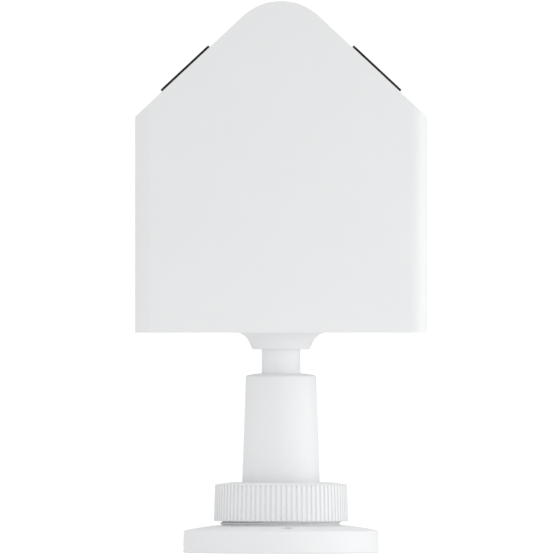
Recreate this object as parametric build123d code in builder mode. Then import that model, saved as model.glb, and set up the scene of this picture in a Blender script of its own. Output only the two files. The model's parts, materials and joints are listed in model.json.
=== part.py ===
"""Yagi antenna in a white pitched-roof radome, on a ball-jointed stand with a screwed locking ring.

Millimetres, +Z up. The origin is the centre of the base's underside, on the stand's axis. The antenna
looks along +Z. From the bottom up: a round base with a threaded boss, a ball that the locking ring
clamps in the boss, a tapered post on the ball, a spindle that turns in the post, and the radome.
"""
import os
from math import copysign, cos, radians, sin, sqrt, tan
from build123d import *

os.makedirs("parts", exist_ok=True)

# ---- Clearances -------------------------------------------------------------------------------------
running_gap = 0.08      # between a shaft and the bore it turns in
seat_gap = 0.05         # between faces that rest on each other
loose_gap = 0.3         # between mouldings that drop into each other
thread_gap = 0.15       # between the boss's thread and the ring's
screw_gap = 0.05        # between a screw and the pilot hole that it cuts its thread in
pass_gap = 0.2          # between a screw and the hole that it passes through

# ---- Screws -----------------------------------------------------------------------------------------
screw_radius = 1.5
small_screw_radius = 1.0
screw_head_width = 1.9  # head radius, in shank radii
screw_head_height = 1.3 # in shank radii

# ---- Base -------------------------------------------------------------------------------------------
base_apron = 0.47       # flat of the base's top that shows outside the locking ring
base_flange = 15.0      # from the apron to the rim
base_draft = 0.4        # how much smaller the rim is at its top
base_edge = 0.5
base_rim_height = 11.05
base_height = 13.5      # at the foot of the boss
base_crown_bulge = 0.2
base_floor = 3.0
base_wall = 3.0
boss_wall = 2.1         # from the bore to the thread's root
boss_top = 22.2
mount_hole_radius = 1.9
mount_head_radius = 3.1
mount_land = 4.0        # thickness left under a mounting screw's head
mount_boss_radius = 5.6
mount_inset = 6.0       # from the apron to the mounting holes
mount_hole_count = 3
mount_hole_turn = -86.0
core_boss_wall = 4.82   # from the bore to the hollow under the base
core_rib_count = 12
core_rib = 2.0
gasket_inset = 2.2
gasket_width = 3.2
gasket_thickness = 1.2

# ---- Thread of the boss and the locking ring ----------------------------------------------------------
thread_pitch = 2.7
thread_depth = 1.1
thread_root_width = 1.6
thread_crest_width = 0.6
thread_start = 10.55    # lowest crest on the +X side, sunk in the base's crown
thread_end = 0.85       # from the highest crest to the boss's top
ring_thread_turns = 1.5

# ---- Ball joint -------------------------------------------------------------------------------------
ball_radius = 26.0
ball_height = 18.0      # centre of the ball above the underside
ball_foot = 9.5         # flat underside of the ball, below its centre
ball_shoulder = 16.0    # flat top of the ball, above its centre
ball_hollow_radius = 19.5
ball_web = 5.0
ball_gap = 0.15
seat_wall = 0.95
seat_top = 19.0
spigot_radius = 15.95
spigot_height = 6.0
spigot_bore = 8.0
slip_ring_height = 4.9
slip_ring_wall = 2.3
slip_lug_width = 5.6
slip_lug_depth = 3.3
slip_lug_thickness = 1.4

# ---- Locking ring -----------------------------------------------------------------------------------
ring_bottom = 15.85
ring_wall = 3.0        # outside the thread
ring_shoulder = 34.1
ring_draft = 0.55
ring_shoulder_round = 0.6
ring_crown = 1.1        # rise of the top from the shoulder to the opening
ring_crown_bulge = 0.05
ring_ball_gap = 0.2
ring_edge = 0.4
groove_count = 80
groove_width = 1.1
groove_depth = 0.8
groove_top = 33.95

# ---- Post and swivel --------------------------------------------------------------------------------
post_bottom_radius = 19.42
post_top_radius = 17.55
post_top = 88.35
post_edge = 0.25
post_cavity_radius = 15.5
post_screw_circle = 12.0    # radius of the circle that the screws stand on
post_screw_count = 3
post_boss_radius = 3.7
post_boss_length = 13.5
swivel_depth = 17.35     # from the post's top to the web that the spindle stands on
swivel_web = 3.0
swivel_bore_radius = 14.0
cap_plug_radius = 15.3
cap_inset = 0.6         # width of the post's top edge outside the cap
cap_edge = 0.3
cap_crown = 1.35
cap_crown_bulge = 0.12
neck_radius = 9.63
neck_bore = 6.2
neck_flange_radius = 13.6
neck_flange_height = 4.0
neck_stud_radius = 8.0
pad_thickness = 1.2
washer_thickness = 1.0
spring_thickness = 0.6
stud_washer_radius = 13.0
stud_washer_thickness = 1.5
stud_nut_across = 24.0
stud_nut_height = 6.0
stud_end = 2.0          # how far the stud stands out of its nut

# ---- Radome and cover -------------------------------------------------------------------------------
cover_bottom = 110.1
cover_thickness = 3.2
cover_gap = 0.2
cover_screw_length = 12.0
collar_height = 8.4
collar_radius = 14.3
collar_slope = 23.4     # degrees from upright
collar_fillet = 7.6
collar_edge = 0.4
collar_seat_depth = 0.8
radome_width = 145.6
radome_depth = 62.0
radome_wall = 2.8
radome_corner = 8.0
radome_top = 275.5
roof_angle = 43.0
ridge_radius = 27.8
radome_edge = 0.6
ledge_width = 2.4
ledge_height = 2.4
cover_gasket_thickness = 1.1
column_radius = 3.4
column_length = 14.4
column_rib = 1.8
corner_column_inset = (9.1, 7.7)    # from the inside of the end wall and of the front wall
middle_column_place = (28.0, 6.7)   # from the middle, and from the inside of the front wall

# ---- Windows and indicator boards -------------------------------------------------------------------
window_offset = 47.4    # from the middle of the ridge to the middle of a window
window_length = 32.7
window_width = 38.0
window_thickness = 2.0
window_proud = 1.3
window_corner = 3.0
window_edge = 0.35
window_seal_thickness = 0.4
window_seal_width = 3.2
indicator_length = 20.0
indicator_width = 46.0
board_thickness = 1.6
indicator_boss_radius = 2.3
indicator_boss_height = 3.0
indicator_screw_place = 20.0
lamp_size = (2.8, 2.8, 1.0)
lamp_count = 5
lamp_spacing = 6.0

# ---- Electronics ------------------------------------------------------------------------------------
board_left = -56.0
board_right = -21.5
board_depth = 34.0
standoff_height = 6.0
standoff_radius = 2.6
standoff_inset = 3.6
can_size = (16.0, 19.0, 6.0)
can_place = -44.0
can_wall = 0.5
jack_x = 45.0
jack_radius = 7.94      # 5/8-24 thread that the plug screws onto
jack_thread_length = 10.5
jack_shank_radius = 8.5
jack_length = 15.4      # from the pocket's ceiling down to the jack's mouth
jack_chamfer = 0.5
jack_bore = 4.1
jack_bore_depth = 9.0
jack_flange_radius = 10.8
jack_flange_height = 3.4
jack_back_radius = 5.5
jack_back_height = 5.0
jack_nut_across = 21.0
jack_nut_height = 3.0
jack_washer_radius = 11.0
jack_washer_thickness = 0.8
pin_radius = 0.9
bead_thickness = 4.0
pocket_radius = 14.0
pocket_depth = 15.4
pocket_wall = 2.2
coax_radius = 1.25
coax_bend = 7.0
coax_x = -31.5

# ---- Aerial -----------------------------------------------------------------------------------------
foot_column_place = 16.0
foot_column_radius = 3.5
foot_column_height = 12.0
foot_screw_length = 10.0
foot_size = 40.0
foot_thickness = 3.0
foot_floor = 1.2
socket_wall = 3.4
socket_top = 139.0
socket_flange_size = 24.0
socket_flange_thickness = 3.0
boom_size = 10.0
boom_wall = 1.2
boom_top = 262.0
boom_pin_z = 132.0
reflector_size = (120.0, 48.0, 1.2)
reflector_screw_place = 9.4
rod_radius = 2.0
director_heights = (196.0, 218.0, 240.0)
director_half_lengths = (34.0, 33.2, 32.4)
clamp_size = (12.0, 8.0, 14.0)
clamp_screw_rise = 4.4
driven_height = 171.0
driven_half_length = 37.0
driven_spacing = 14.0
driven_gap = 6.0
feed_box_size = (26.0, 13.0, 30.0)
feed_box_wall = 1.6
feed_screw_place = 2.7
balun_size = (18.0, 1.0, 22.0)
cushion_size = (18.0, 24.0, 14.6)
cushion_socket = 6.0
cushion_edge = 1.0

# ---- Worked out from the sizes above ----------------------------------------------------------------
seat_sphere = ball_radius + ball_gap
bore_radius = seat_sphere + seat_wall + running_gap
root_radius = bore_radius + boss_wall
crest_radius = root_radius + thread_depth
boss_thread_turns = (boss_top - thread_end - thread_start) / thread_pitch
shoulder_z = ball_height + ball_shoulder
slip_bottom = boss_top + loose_gap
slip_top = slip_bottom + slip_ring_height
slip_radius = seat_sphere + slip_ring_wall
ring_bottom_radius = crest_radius + thread_gap + ring_wall
ring_shoulder_radius = ring_bottom_radius - ring_draft
ring_opening_radius = sqrt(seat_sphere**2 - (slip_top - ball_height) ** 2) + ring_ball_gap
base_crown_radius = ring_bottom_radius + base_apron
base_radius = base_crown_radius + base_flange
mount_circle = 2 * (base_crown_radius + mount_inset)
core_inner_radius = bore_radius + core_boss_wall
gasket_outer_radius = base_radius - gasket_inset
gasket_inner_radius = gasket_outer_radius - gasket_width
spigot_top = shoulder_z + spigot_height
hollow_top = shoulder_z - ball_web
swivel_floor = post_top - swivel_depth
pad_bottom = swivel_floor + seat_gap
flange_bottom = pad_bottom + pad_thickness + seat_gap
washer_bottom = flange_bottom + neck_flange_height + seat_gap
spring_bottom = washer_bottom + washer_thickness + seat_gap
cap_bottom = spring_bottom + spring_thickness + seat_gap
cap_seat = post_top + seat_gap
cover_top = cover_bottom + cover_thickness
collar_bottom = cover_bottom - collar_height
neck_top = cover_bottom - collar_seat_depth - seat_gap
stud_nut_bottom = cover_top + stud_washer_thickness + 2 * seat_gap
stud_top = stud_nut_bottom + stud_nut_height + stud_end
inner_width = radome_width - 2 * radome_wall
inner_depth = radome_depth - 2 * radome_wall
inner_corner = radome_corner - radome_wall
ridge_centre = radome_top - ridge_radius
ledge_z = cover_top + cover_gasket_thickness + 2 * seat_gap
corner_columns = [
    (x * (inner_width / 2 - corner_column_inset[0]), y * (inner_depth / 2 - corner_column_inset[1]))
    for x in (-1, 1)
    for y in (-1, 1)
]
middle_columns = [
    (x * middle_column_place[0], y * (inner_depth / 2 - middle_column_place[1]))
    for x in (-1, 1)
    for y in (-1, 1)
]
recess_depth = window_thickness - window_proud + window_seal_thickness + 2 * seat_gap
window_opening = (window_length - 2 * window_seal_width, window_width - 2 * window_seal_width)
indicator_top = -radome_wall - indicator_boss_height - seat_gap
indicator_bottom = indicator_top - board_thickness
indicator_screws = [(0, -indicator_screw_place), (0, indicator_screw_place)]
board_bottom = cover_top + standoff_height + seat_gap
board_top = board_bottom + board_thickness
board_middle = (board_left + board_right) / 2
board_length = board_right - board_left
board_screws = [
    (board_middle + x * (board_length / 2 - standoff_inset), y * (board_depth / 2 - standoff_inset))
    for x in (-1, 1)
    for y in (-1, 1)
]
pocket_ceiling = cover_bottom + pocket_depth
pocket_top = pocket_ceiling + pocket_wall
jack_flange_bottom = pocket_top + seat_gap
foot_columns = [(x * foot_column_place, y * foot_column_place) for x in (-1, 1) for y in (-1, 1)]
foot_bottom = cover_top + foot_column_height + seat_gap
foot_top = foot_bottom + foot_thickness
boom_bottom = foot_bottom + foot_floor + seat_gap
socket_bore = boom_size + 2 * seat_gap
socket_size = socket_bore + 2 * socket_wall
reflector_bottom = socket_top + seat_gap
reflector_top = reflector_bottom + reflector_size[2]
reflector_screws = [
    (x * reflector_screw_place, y * reflector_screw_place) for x in (-1, 1) for y in (-1, 1)
]
boom_front = -boom_size / 2 - seat_gap
director_y = boom_front - clamp_size[1] / 2
clamp_front = boom_front - clamp_size[1]
feed_box_y = boom_front - feed_box_size[1] / 2
feed_box_front = boom_front - feed_box_size[1]
feed_box_bottom = driven_height - feed_box_size[2] / 2
coax_drop = (feed_box_size[0] / 2 - 2 * feed_box_wall - coax_radius, boom_front - 9.6)
coax_run_z = foot_top + 5.0
jack_lead_y = foot_column_place - 3.0


def roof_plane(side, drop=0.0):
    """Plane on a roof slope at the window's middle: x down the slope, z outwards, moved in by drop."""
    lean, rise = sin(radians(roof_angle)), cos(radians(roof_angle))
    height = ridge_centre + ridge_radius / rise - window_offset * lean / rise
    outer = Plane(
        origin=(side * window_offset, 0, height),
        x_dir=(side * rise, 0, -lean),
        z_dir=(side * lean, 0, rise),
    )
    return outer.offset(-drop)


def house_block(inset, bottom):
    """Rounded box under a pitched roof with a round ridge, with its sides and roof moved in by inset."""
    half = radome_width / 2 - inset
    radius = ridge_radius - inset
    lean, rise = sin(radians(roof_angle)), cos(radians(roof_angle))
    eave = ridge_centre + radius / rise - half * lean / rise
    ridge_left = (-radius * lean, ridge_centre + radius * rise)
    ridge_right = (radius * lean, ridge_centre + radius * rise)
    with BuildPart() as block:
        with BuildSketch(Plane.XY.offset(bottom)):
            RectangleRounded(2 * half, radome_depth - 2 * inset, radome_corner - inset)
        extrude(amount=radome_top - bottom)
        with BuildSketch(Plane.XZ):
            with BuildLine():
                Polyline(ridge_left, (-half, eave), (-half, bottom), (half, bottom))
                Polyline((half, bottom), (half, eave), ridge_right)
                ThreePointArc(ridge_left, (0, ridge_centre + radius), ridge_right)
            make_face()
        extrude(amount=radome_depth, both=True, mode=Mode.INTERSECT)
    return block.part


def thread_ridge(root, crest, start, turns, root_width, crest_width):
    """Right-handed helical ridge from root to crest radius, its foot sunk a little into its wall."""
    sink = copysign(0.25, root - crest)
    with BuildPart() as ridge:
        with BuildLine() as path:
            Helix(pitch=thread_pitch, height=turns * thread_pitch, radius=root, center=(0, 0, start))
        with BuildSketch(Plane(origin=(root, 0, start), x_dir=(1, 0, 0), z_dir=(0, -1, 0))):
            with BuildLine():
                Polyline(
                    (sink, root_width / 2),
                    (0, root_width / 2),
                    (crest - root, crest_width / 2),
                    (crest - root, -crest_width / 2),
                    (0, -root_width / 2),
                    (sink, -root_width / 2),
                    close=True,
                )
            make_face()
        sweep(path=path.line, is_frenet=True)
    return ridge.part


def washer(inner, outer, bottom, thickness):
    """Flat ring around the stand's axis."""
    with BuildPart() as ring:
        with BuildSketch(Plane.XY.offset(bottom)):
            Circle(outer)
            Circle(inner, mode=Mode.SUBTRACT)
        extrude(amount=thickness)
    return ring.part


def pan_screws(places, plane, length, radius=screw_radius):
    """Round-headed screws, whose heads sit below the plane and whose shanks go up from it."""
    head = radius * screw_head_width
    height = radius * screw_head_height
    with BuildPart() as screw:
        with BuildSketch(Plane.XZ):
            with BuildLine():
                Polyline((head, -height / 2), (head, 0), (radius, 0), (radius, length - radius / 2))
                Polyline((radius, length - radius / 2), (radius / 2, length), (0, length), (0, -height))
                ThreePointArc((0, -height), (head * 0.75, -height * 0.8), (head, -height / 2))
            make_face()
        revolve(axis=Axis.Z)
        with BuildSketch(Plane.XY.offset(-height)):
            RegularPolygon(radius * 0.75, 6)
        extrude(amount=height * 0.6, mode=Mode.SUBTRACT)
    with BuildPart(plane) as screws:
        with Locations(*places):
            add(screw.part)
    return screws.part


def flat_screws(places, plane, length, radius=screw_radius):
    """Countersunk screws, whose heads end flush with the plane and whose shanks go up from it."""
    head = radius * screw_head_width
    with BuildPart() as screw:
        with BuildSketch(Plane.XZ):
            with BuildLine():
                Polyline(
                    (0, 0),
                    (head, 0),
                    (radius, head - radius),
                    (radius, length - radius / 2),
                    (radius / 2, length),
                    (0, length),
                    close=True,
                )
            make_face()
        revolve(axis=Axis.Z)
        with BuildSketch():
            RegularPolygon(radius * 0.75, 6)
        extrude(amount=radius * 0.8, mode=Mode.SUBTRACT)
    with BuildPart(plane) as screws:
        with Locations(*places):
            add(screw.part)
    return screws.part


# ---- Base -------------------------------------------------------------------------------------------
with BuildPart() as base_plate:
    rim_top = (base_radius - base_draft, base_rim_height)
    crown_foot = (base_crown_radius, base_height)
    with BuildSketch(Plane.XZ) as base_profile:
        with BuildLine():
            Polyline((0, 0), (base_radius, 0), rim_top)
            ThreePointArc(
                rim_top,
                (
                    (rim_top[0] + crown_foot[0]) / 2,
                    (rim_top[1] + crown_foot[1]) / 2 + base_crown_bulge,
                ),
                crown_foot,
            )
            Polyline(
                crown_foot,
                (root_radius, base_height),
                (root_radius, boss_top),
                (bore_radius, boss_top),
                (bore_radius, base_floor),
                (0, base_floor),
                (0, 0),
            )
        make_face()
        rim_corners = base_profile.vertices().sort_by(Axis.X)[-2:]
        fillet(rim_corners, base_edge)
    revolve(axis=Axis.Z)
    with BuildSketch():
        Circle(gasket_outer_radius)
        Circle(gasket_inner_radius, mode=Mode.SUBTRACT)
    extrude(amount=gasket_thickness, mode=Mode.SUBTRACT)
    with BuildSketch():
        Circle(gasket_inner_radius - base_wall / 2)
        Circle(core_inner_radius, mode=Mode.SUBTRACT)
        with PolarLocations(0, core_rib_count):
            Rectangle(base_radius, core_rib, align=(Align.MIN, Align.CENTER), mode=Mode.SUBTRACT)
        with PolarLocations(mount_circle / 2, mount_hole_count, start_angle=mount_hole_turn):
            Circle(mount_boss_radius, mode=Mode.SUBTRACT)
    extrude(amount=base_rim_height - base_wall, mode=Mode.SUBTRACT)
    with Locations(Plane.XY.offset(base_height)):
        with PolarLocations(mount_circle / 2, mount_hole_count, start_angle=mount_hole_turn):
            CounterBoreHole(mount_hole_radius, mount_head_radius, base_height - mount_land)
    add(
        thread_ridge(
            root_radius,
            crest_radius,
            thread_start,
            boss_thread_turns,
            thread_root_width,
            thread_crest_width,
        )
    )
    with BuildSketch(Plane.XY.offset(slip_bottom - slip_lug_depth - loose_gap)):
        Rectangle(2 * base_radius, slip_lug_width + 2 * loose_gap)
        Circle(seat_sphere, mode=Mode.SUBTRACT)
    extrude(amount=boss_top, mode=Mode.SUBTRACT)
base_plate.part.label = "base_plate"
export_step(base_plate.part, "parts/base_plate.step")

with BuildPart() as base_gasket:
    add(washer(gasket_inner_radius, gasket_outer_radius, 0, gasket_thickness))
base_gasket.part.label = "base_gasket"
export_step(base_gasket.part, "parts/base_gasket.step")

# ---- Ball joint -------------------------------------------------------------------------------------
with BuildPart() as ball_seat:
    seat_bottom = base_floor + seat_gap
    with BuildSketch(Plane.XY.offset(seat_bottom)):
        Circle(bore_radius - running_gap)
    extrude(amount=seat_top - seat_bottom)
    with Locations((0, 0, ball_height)):
        Sphere(seat_sphere, mode=Mode.SUBTRACT)
ball_seat.part.label = "ball_seat"
export_step(ball_seat.part, "parts/ball_seat.step")

with BuildPart() as slip_ring:
    with BuildSketch(Plane.XY.offset(slip_bottom)):
        Circle(slip_radius)
    extrude(amount=slip_ring_height)
    lug_outer = root_radius - loose_gap
    lug_inner = lug_outer - slip_lug_thickness
    with BuildSketch(Plane.XY.offset(slip_bottom - slip_lug_depth)):
        Rectangle(2 * base_radius, slip_lug_width)
        Circle(lug_outer, mode=Mode.INTERSECT)
        Circle(lug_inner, mode=Mode.SUBTRACT)
    extrude(amount=slip_lug_depth + slip_ring_height / 3)
    with Locations((0, 0, ball_height)):
        Sphere(seat_sphere, mode=Mode.SUBTRACT)
slip_ring.part.label = "slip_ring"
export_step(slip_ring.part, "parts/slip_ring.step")

with BuildPart() as locking_ring:
    shoulder = (ring_shoulder_radius, ring_shoulder)
    opening = (ring_opening_radius, ring_shoulder + ring_crown)
    thread_bore = crest_radius + thread_gap
    ring_bore = max(slip_radius, root_radius - loose_gap) + loose_gap
    with BuildSketch(Plane.XZ) as ring_profile:
        with BuildLine():
            Polyline((thread_bore, ring_bottom), (ring_bottom_radius, ring_bottom), shoulder)
            ThreePointArc(
                shoulder,
                (
                    (shoulder[0] + opening[0]) / 2,
                    (shoulder[1] + opening[1]) / 2 + ring_crown_bulge,
                ),
                opening,
            )
            Polyline(
                opening,
                (ring_opening_radius, slip_top + seat_gap),
                (ring_bore, slip_top + seat_gap),
                (ring_bore, slip_bottom),
                (thread_bore, slip_bottom),
                (thread_bore, ring_bottom),
            )
        make_face()
        fillet(ring_profile.vertices().sort_by_distance((*shoulder, 0))[0], ring_shoulder_round)
        fillet(ring_profile.vertices().sort_by_distance((*opening, 0))[0], ring_edge)
        fillet(ring_profile.vertices().sort_by_distance((ring_bottom_radius, ring_bottom, 0))[0], ring_edge)
    revolve(axis=Axis.Z)
    side_rise = ring_shoulder - ring_bottom
    side_lean = ring_shoulder_radius - ring_bottom_radius
    groove_start = Plane(
        origin=(ring_bottom_radius, 0, ring_bottom),
        x_dir=(0, 1, 0),
        z_dir=(side_lean, 0, side_rise),
    ).offset(-ring_edge)
    with BuildPart(mode=Mode.PRIVATE) as groove:
        with BuildSketch(groove_start):
            with Locations((0, groove_depth - groove_width / 2)):
                Circle(groove_width / 2)
            Rectangle(groove_width, groove_depth - groove_width / 2, align=(Align.CENTER, Align.MIN))
            Rectangle(groove_width, groove_depth, align=(Align.CENTER, Align.MAX))
        extrude(amount=groove_top - ring_bottom + ring_edge)
    with PolarLocations(0, groove_count):
        add(groove.part, mode=Mode.SUBTRACT)
    add(
        thread_ridge(
            thread_bore,
            root_radius + thread_gap,
            thread_start + 2.5 * thread_pitch,
            ring_thread_turns,
            thread_pitch - thread_crest_width - thread_gap,
            thread_pitch - thread_root_width - thread_gap,
        )
    )
locking_ring.part.label = "locking_ring"
export_step(locking_ring.part, "parts/locking_ring.step")

with BuildPart() as ball:
    with Locations((0, 0, ball_height)):
        Sphere(ball_radius)
    foot_z = ball_height - ball_foot
    with BuildSketch(Plane.XY.offset(foot_z)):
        Circle(ball_radius)
    extrude(amount=shoulder_z - foot_z, mode=Mode.INTERSECT)
    with BuildSketch(Plane.XY.offset(foot_z)):
        Circle(ball_hollow_radius)
    extrude(amount=hollow_top - foot_z, mode=Mode.SUBTRACT)
    with BuildSketch(Plane.XY.offset(hollow_top)):
        Circle(spigot_radius)
    extrude(amount=spigot_top - hollow_top)
    with BuildSketch(Plane.XY.offset(hollow_top)):
        Circle(spigot_bore)
        with PolarLocations(post_screw_circle, post_screw_count):
            Circle(screw_radius + pass_gap)
    extrude(amount=spigot_top - hollow_top, mode=Mode.SUBTRACT)
ball.part.label = "ball"
export_step(ball.part, "parts/ball.step")

# ---- Post and swivel --------------------------------------------------------------------------------
with BuildPart() as post:
    post_bottom = shoulder_z + seat_gap
    spigot_ceiling = spigot_top + seat_gap
    with BuildSketch(Plane.XZ) as post_profile:
        with BuildLine():
            Polyline(
                (spigot_radius + seat_gap, post_bottom),
                (post_bottom_radius, post_bottom),
                (post_top_radius, post_top),
                (cap_plug_radius + seat_gap, post_top),
                (cap_plug_radius + seat_gap, cap_bottom - seat_gap),
                (swivel_bore_radius, cap_bottom - seat_gap),
                (swivel_bore_radius, swivel_floor),
                (neck_bore, swivel_floor),
                (neck_bore, swivel_floor - swivel_web),
                (post_cavity_radius, swivel_floor - swivel_web),
                (post_cavity_radius, spigot_ceiling),
                (spigot_radius + seat_gap, spigot_ceiling),
                close=True,
            )
        make_face()
        fillet(post_profile.vertices().sort_by_distance((post_top_radius, post_top, 0))[0], post_edge)
    revolve(axis=Axis.Z)
    with BuildSketch(Plane.XY.offset(spigot_ceiling)):
        with PolarLocations(post_screw_circle, post_screw_count):
            Circle(post_boss_radius)
    extrude(amount=post_boss_length)
    with BuildSketch(Plane.XY.offset(spigot_ceiling)):
        with PolarLocations(post_screw_circle, post_screw_count):
            Circle(screw_radius + screw_gap)
    extrude(amount=post_boss_length, mode=Mode.SUBTRACT)
post.part.label = "post"
export_step(post.part, "parts/post.step")

with BuildPart() as post_screws:
    turns = [radians(360 * k / post_screw_count) for k in range(post_screw_count)]
    places = [(post_screw_circle * cos(turn), post_screw_circle * sin(turn)) for turn in turns]
    web_height = ball_web + spigot_height
    add(pan_screws(places, Plane.XY.offset(hollow_top - seat_gap), web_height + post_boss_length - 1))
post_screws.part.label = "post_screws"
export_step(post_screws.part, "parts/post_screws.step")

with BuildPart() as thrust_pad:
    add(washer(neck_bore, neck_flange_radius, pad_bottom, pad_thickness))
thrust_pad.part.label = "thrust_pad"
export_step(thrust_pad.part, "parts/thrust_pad.step")

with BuildPart() as thrust_washer:
    add(washer(neck_radius + loose_gap, neck_flange_radius, washer_bottom, washer_thickness))
thrust_washer.part.label = "thrust_washer"
export_step(thrust_washer.part, "parts/thrust_washer.step")

with BuildPart() as spring_washer:
    add(washer(neck_radius + loose_gap, neck_flange_radius, spring_bottom, spring_thickness))
spring_washer.part.label = "spring_washer"
export_step(spring_washer.part, "parts/spring_washer.step")

with BuildPart() as post_cap:
    cap_radius = post_top_radius - cap_inset
    cap_bore = neck_radius + running_gap
    cap_rim = (cap_radius, cap_seat + cap_edge)
    cap_lip = (cap_bore, cap_seat + cap_crown)
    with BuildSketch(Plane.XZ):
        with BuildLine():
            Polyline(
                cap_lip,
                (cap_bore, cap_bottom),
                (cap_plug_radius, cap_bottom),
                (cap_plug_radius, cap_seat),
                (cap_radius, cap_seat),
                cap_rim,
            )
            ThreePointArc(
                cap_rim,
                ((cap_rim[0] + cap_lip[0]) / 2, (cap_rim[1] + cap_lip[1]) / 2 + cap_crown_bulge),
                cap_lip,
            )
        make_face()
    revolve(axis=Axis.Z)
post_cap.part.label = "post_cap"
export_step(post_cap.part, "parts/post_cap.step")

with BuildPart() as neck_spindle:
    with BuildSketch(Plane.XZ):
        with BuildLine():
            Polyline(
                (neck_bore, flange_bottom),
                (neck_flange_radius, flange_bottom),
                (neck_flange_radius, flange_bottom + neck_flange_height),
                (neck_radius, flange_bottom + neck_flange_height),
                (neck_radius, neck_top),
                (neck_stud_radius, neck_top),
                (neck_stud_radius, stud_top),
                (neck_bore, stud_top),
                close=True,
            )
        make_face()
    revolve(axis=Axis.Z)
neck_spindle.part.label = "neck_spindle"
export_step(neck_spindle.part, "parts/neck_spindle.step")

with BuildPart() as spindle_washer:
    stud_bore = neck_stud_radius + seat_gap
    add(washer(stud_bore, stud_washer_radius, cover_top + seat_gap, stud_washer_thickness))
spindle_washer.part.label = "spindle_washer"
export_step(spindle_washer.part, "parts/spindle_washer.step")

with BuildPart() as spindle_nut:
    with BuildSketch(Plane.XY.offset(stud_nut_bottom)):
        RegularPolygon(stud_nut_across / 2, 6, major_radius=False)
        Circle(stud_bore, mode=Mode.SUBTRACT)
    extrude(amount=stud_nut_height)
spindle_nut.part.label = "spindle_nut"
export_step(spindle_nut.part, "parts/spindle_nut.step")

# ---- Cover ------------------------------------------------------------------------------------------
with BuildPart() as bottom_cover:
    with BuildSketch(Plane.XY.offset(cover_bottom)):
        RectangleRounded(inner_width - 2 * cover_gap, inner_depth - 2 * cover_gap, inner_corner - cover_gap)
    extrude(amount=cover_thickness)
    collar_top_radius = collar_radius + collar_height * tan(radians(collar_slope))
    with BuildSketch(Plane.XZ) as collar_profile:
        with BuildLine():
            Polyline(
                (0, collar_bottom),
                (collar_radius, collar_bottom),
                (collar_top_radius, cover_bottom),
                (inner_depth / 2 - cover_gap, cover_bottom),
                (inner_depth / 2 - cover_gap, cover_top),
                (0, cover_top),
                close=True,
            )
        make_face()
        flare = collar_profile.vertices().sort_by_distance((collar_top_radius, cover_bottom, 0))[0]
        fillet(flare, collar_fillet)
        foot = collar_profile.vertices().sort_by_distance((collar_radius, collar_bottom, 0))[0]
        fillet(foot, collar_edge)
    revolve(axis=Axis.Z)
    with BuildSketch(Plane.XY.offset(cover_bottom)):
        with Locations((jack_x, 0)):
            Circle(pocket_radius + pocket_wall)
    extrude(amount=pocket_depth + pocket_wall)
    with BuildSketch(Plane.XY.offset(cover_bottom)):
        with Locations((jack_x, 0)):
            Circle(pocket_radius)
    extrude(amount=pocket_depth, mode=Mode.SUBTRACT)
    with BuildSketch(Plane.XY.offset(pocket_ceiling)):
        with Locations((jack_x, 0)):
            Circle(jack_shank_radius + pass_gap)
    extrude(amount=pocket_wall, mode=Mode.SUBTRACT)
    with BuildSketch(Plane.XY.offset(cover_top)):
        with Locations(*foot_columns):
            Circle(foot_column_radius)
    extrude(amount=foot_column_height)
    with BuildSketch(Plane.XY.offset(cover_top)):
        with Locations(*board_screws):
            Circle(standoff_radius)
    extrude(amount=standoff_height)
    with BuildSketch(Plane.XY.offset(collar_bottom)):
        Circle(neck_radius + seat_gap)
    extrude(amount=collar_height - collar_seat_depth, mode=Mode.SUBTRACT)
    with BuildSketch(Plane.XY.offset(collar_bottom)):
        Circle(neck_stud_radius + seat_gap)
    extrude(amount=collar_height + cover_thickness, mode=Mode.SUBTRACT)
    with BuildSketch(Plane.XY.offset(cover_top + foot_column_height)):
        with Locations(*foot_columns):
            Circle(screw_radius + screw_gap)
    extrude(amount=-foot_screw_length + foot_thickness - 1, mode=Mode.SUBTRACT)
    with BuildSketch(Plane.XY.offset(cover_top + standoff_height)):
        with Locations(*board_screws):
            Circle(small_screw_radius + screw_gap)
    extrude(amount=-standoff_height, mode=Mode.SUBTRACT)
    with Locations(Plane(origin=(0, 0, cover_bottom), x_dir=(1, 0, 0), z_dir=(0, 0, -1))):
        with Locations(*corner_columns, *middle_columns):
            CounterSinkHole(
                screw_radius + pass_gap,
                screw_radius * screw_head_width + pass_gap,
                depth=2 * cover_thickness,
                counter_sink_angle=90,
            )
bottom_cover.part.label = "bottom_cover"
export_step(bottom_cover.part, "parts/bottom_cover.step")

with BuildPart() as cover_gasket:
    with BuildSketch(Plane.XY.offset(cover_top + seat_gap)):
        RectangleRounded(inner_width - 2 * cover_gap, inner_depth - 2 * cover_gap, inner_corner - cover_gap)
        RectangleRounded(
            inner_width - 2 * ledge_width,
            inner_depth - 2 * ledge_width,
            inner_corner - ledge_width,
            mode=Mode.SUBTRACT,
        )
    extrude(amount=cover_gasket_thickness)
cover_gasket.part.label = "cover_gasket"
export_step(cover_gasket.part, "parts/cover_gasket.step")

with BuildPart() as cover_screws:
    head_face = Plane.XY.offset(cover_bottom + seat_gap)
    add(flat_screws([*corner_columns, *middle_columns], head_face, cover_screw_length))
cover_screws.part.label = "cover_screws"
export_step(cover_screws.part, "parts/cover_screws.step")

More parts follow.
